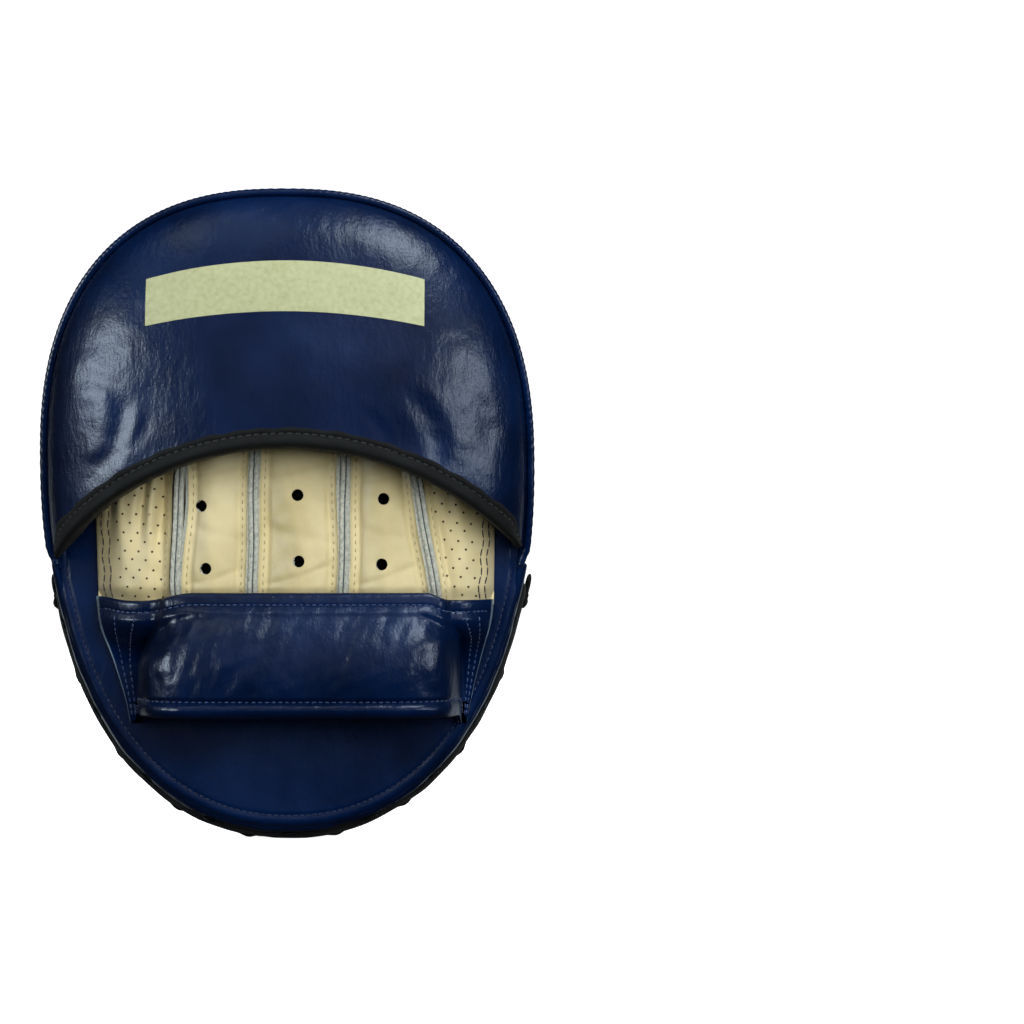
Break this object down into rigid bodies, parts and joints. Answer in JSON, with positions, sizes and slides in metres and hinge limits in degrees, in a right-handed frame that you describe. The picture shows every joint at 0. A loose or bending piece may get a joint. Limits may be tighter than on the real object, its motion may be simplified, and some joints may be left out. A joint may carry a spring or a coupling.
{
  "type": "focus mitt",
  "caption": "Egg-shaped padded hand target worn on one hand, with a hood over the fingers, a fingered glove and a wrist cuff on the back, and a laced edge.",
  "frame": {"origin": "centre of the palm inside the glove, where the wearer's hand holds the mitt", "axes": "+X to the right as the hand side is seen, +Y out of the striking face, +Z towards the fingertips"},
  "size_m": [0.2004, 0.1001, 0.2639],
  "materials": {
    "body_leather": "glossy navy leather",
    "face_leather": "semi-gloss navy leather",
    "glove_leather": "matt beige leather, perforated at both sides",
    "welt_leather": "raw cut leather edge",
    "binding": "matt black tape",
    "lace": "flat woven black lace",
    "lining": "dark woven lining",
    "foam": "closed-cell foam",
    "board": "matt plastic sheet"
  },
  "bodies": {
    "pad": {"target_patch": "face_leather", "face_cover": "face_leather", "foam_face": "foam", "foam_core": "foam", "stiffener_board": "board", "foam_back": "foam", "back_cover": "body_leather", "upper_gusset": "body_leather", "front_facing": "body_leather", "back_facing": "body_leather", "lacing_tongue": "lining", "lace_a": "lace", "lace_b": "lace", "lace_knot_left": "lace", "lace_knot_right": "lace", "hood_piping": "body_leather", "glove_palm": "lining", "thumb_panel": "glove_leather", "index_panel": "glove_leather", "middle_panel": "glove_leather", "ring_panel": "glove_leather", "little_panel": "glove_leather", "divider_1": "lining", "divider_2": "lining", "divider_3": "lining", "divider_4": "lining", "welt_1": "welt_leather", "welt_2": "welt_leather", "welt_3": "welt_leather", "welt_4": "welt_leather", "cuff_tab_left": "body_leather", "cuff_tab_right": "body_leather"},
    "hood": {"hood_outer": "body_leather", "hood_foam": "foam", "hood_lining": "lining", "hood_binding": "binding"},
    "cuff": {"cuff_outer": "body_leather", "cuff_foam": "foam", "cuff_lining": "lining", "cuff_roll": "body_leather"}
  },
  "joints": [
    {"name": "hood_flex", "type": "hinge", "parent": "pad", "child": "hood", "pos_m": [0, -0.0132, 0.18], "axis": [-1, 0, 0], "range_deg": [0, 8], "stiffness_Nm_per_rad": 4},
    {"name": "cuff_flex", "type": "hinge", "parent": "pad", "child": "cuff", "pos_m": [0, -0.0132, 0.0178], "axis": [-1, 0, 0], "range_deg": [0, 20], "stiffness_Nm_per_rad": 1.5}
  ]
}
